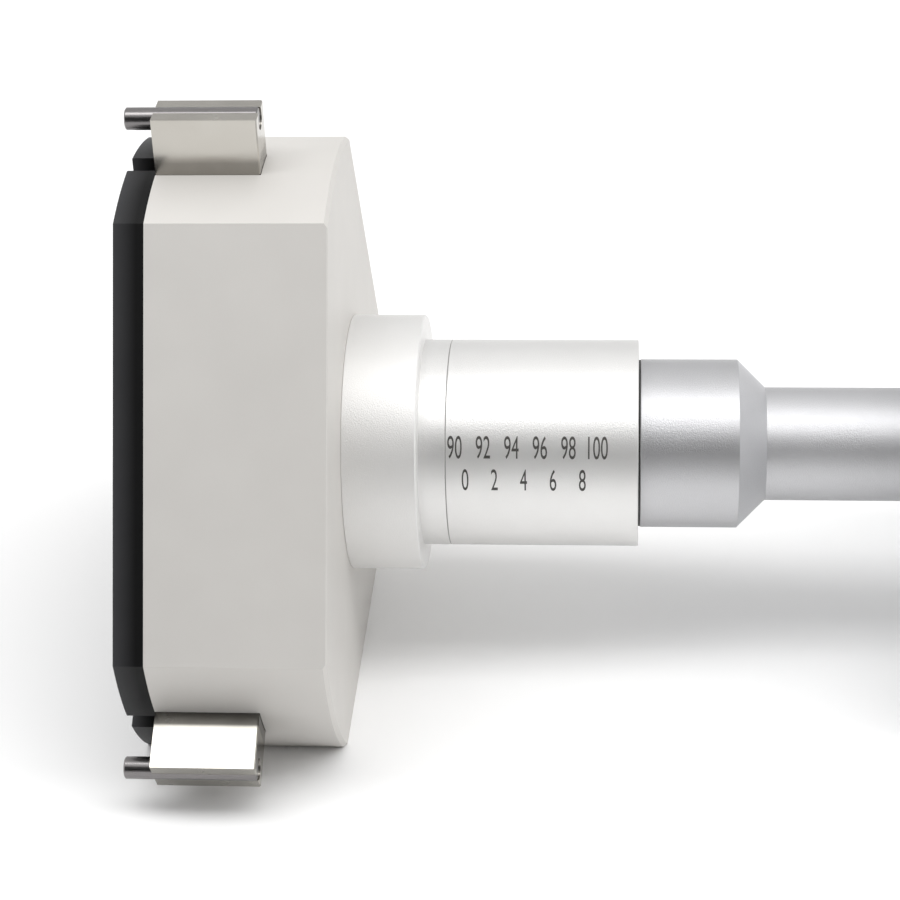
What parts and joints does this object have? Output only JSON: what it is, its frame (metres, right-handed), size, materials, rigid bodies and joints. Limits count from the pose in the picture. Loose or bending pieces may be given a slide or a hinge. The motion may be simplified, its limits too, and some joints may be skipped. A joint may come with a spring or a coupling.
{
  "type": "inside micrometer",
  "caption": "Digital three-point inside micrometer: round head with flats, sprung anvils spread by a cone, sleeve, rod, display housing, thimble and ratchet.",
  "frame": {"origin": "on the instrument's axis, in the plane of the front faces of the anvils", "axes": "+X along the axis from the measuring head to the ratchet; -Z out of the head flat that the instrument lies on; the display faces between -Y and +Z"},
  "size_m": [0.2238, 0.0884, 0.0806],
  "materials": {
    "head_alu": "fine bead-blasted silver",
    "cap_black": "black satin",
    "anvil_steel": "ground and lapped",
    "carbide": "ground carbide",
    "sleeve_satin": "satin chrome",
    "rod_steel": "satin grey",
    "inner_steel": "ground",
    "screw_black": "black oxide",
    "bronze": "turned bronze",
    "seal_rubber": "matt black",
    "housing_plastic": "fine matt",
    "button_plastic": "smooth",
    "switch_plastic": "plain",
    "window_clear": "clear",
    "lcd": "display glass",
    "board_green": "lacquered board",
    "rotor_board": "lacquered board"
  },
  "bodies": {
    "frame": {"head_body": "head_alu", "front_cap": "cap_black", "cap_screws": "screw_black", "return_spring_1": "inner_steel", "return_spring_2": "inner_steel", "return_spring_3": "inner_steel", "stop_pins": "inner_steel", "front_bush": "bronze", "rear_bush": "bronze", "collar": "head_alu", "collar_screws": "screw_black", "lock_ring": "sleeve_satin", "sleeve": "sleeve_satin", "seal_ring": "seal_rubber", "rod": "rod_steel", "barrel": "sleeve_satin", "nut": "bronze", "encoder_stator": "board_green", "housing_front": "housing_plastic", "housing_rear": "housing_plastic", "housing_screws": "screw_black", "display_window": "window_clear", "lcd_panel": "lcd", "circuit_board": "board_green", "switches": "switch_plastic", "battery": "inner_steel", "battery_contact": "bronze", "battery_cover": "housing_plastic"},
    "carriage": {"cone": "inner_steel", "cone_screw": "screw_black", "push_rod": "inner_steel", "push_ball": "inner_steel"},
    "thimble": {"spindle": "inner_steel", "thimble": "sleeve_satin", "ratchet_disc": "inner_steel", "ratchet_spring": "inner_steel", "ratchet_screw": "screw_black"},
    "ratchet": {"ratchet_knob": "sleeve_satin"},
    "rotor": {"encoder_rotor": "rotor_board"},
    "anvil_1": {"anvil_1": "anvil_steel", "contact_pin_1": "carbide"},
    "button_1": {"button_1": "button_plastic"},
    "anvil_2": {"anvil_2": "anvil_steel", "contact_pin_2": "carbide"},
    "button_2": {"button_2": "button_plastic"},
    "anvil_3": {"anvil_3": "anvil_steel", "contact_pin_3": "carbide"},
    "button_3": {"button_3": "button_plastic"}
  },
  "joints": [
    {"name": "carriage_slide", "type": "slide", "parent": "frame", "child": "carriage", "axis": [-1, 0, 0], "range_m": [-0.006, 0.0005]},
    {"name": "thimble_turn", "type": "hinge", "parent": "carriage", "child": "thimble", "pos_m": [0.19, 0, 0], "axis": [-1, 0, 0], "range_deg": [-4321, 361]},
    {"name": "ratchet_turn", "type": "hinge", "parent": "thimble", "child": "ratchet", "pos_m": [0.21, 0, 0], "axis": [-1, 0, 0], "continuous": true},
    {"name": "rotor_turn", "type": "hinge", "parent": "frame", "child": "rotor", "pos_m": [0.138, 0, 0], "axis": [-1, 0, 0], "range_deg": [-4321, 361]},
    {"name": "anvil_slide_1", "type": "slide", "parent": "frame", "child": "anvil_1", "axis": [0, 0, 1], "range_m": [-0.006, 0.0005], "deforming": ["return_spring_1"]},
    {"name": "anvil_slide_2", "type": "slide", "parent": "frame", "child": "anvil_2", "axis": [0, -0.866, -0.5], "range_m": [-0.006, 0.0005], "deforming": ["return_spring_2"]},
    {"name": "anvil_slide_3", "type": "slide", "parent": "frame", "child": "anvil_3", "axis": [0, 0.866, -0.5], "range_m": [-0.006, 0.0005], "deforming": ["return_spring_3"]},
    {"name": "button_press_1", "type": "slide", "parent": "frame", "child": "button_1", "axis": [0, 0.866, -0.5], "range_m": [0, 0.0005], "stiffness_N_per_m": 800, "springref_m": -0.001},
    {"name": "button_press_2", "type": "slide", "parent": "frame", "child": "button_2", "axis": [0, 0.866, -0.5], "range_m": [0, 0.0005], "stiffness_N_per_m": 800, "springref_m": -0.001},
    {"name": "button_press_3", "type": "slide", "parent": "frame", "child": "button_3", "axis": [0, 0.866, -0.5], "range_m": [0, 0.0005], "stiffness_N_per_m": 800, "springref_m": -0.001}
  ],
  "couplings": [
    {"joint": "thimble_turn", "follows": "carriage_slide", "rad_per_m": 12566},
    {"joint": "rotor_turn", "follows": "carriage_slide", "rad_per_m": 12566},
    {"joint": "anvil_slide_1", "follows": "carriage_slide", "ratio": 1},
    {"joint": "anvil_slide_2", "follows": "carriage_slide", "ratio": 1},
    {"joint": "anvil_slide_3", "follows": "carriage_slide", "ratio": 1}
  ]
}
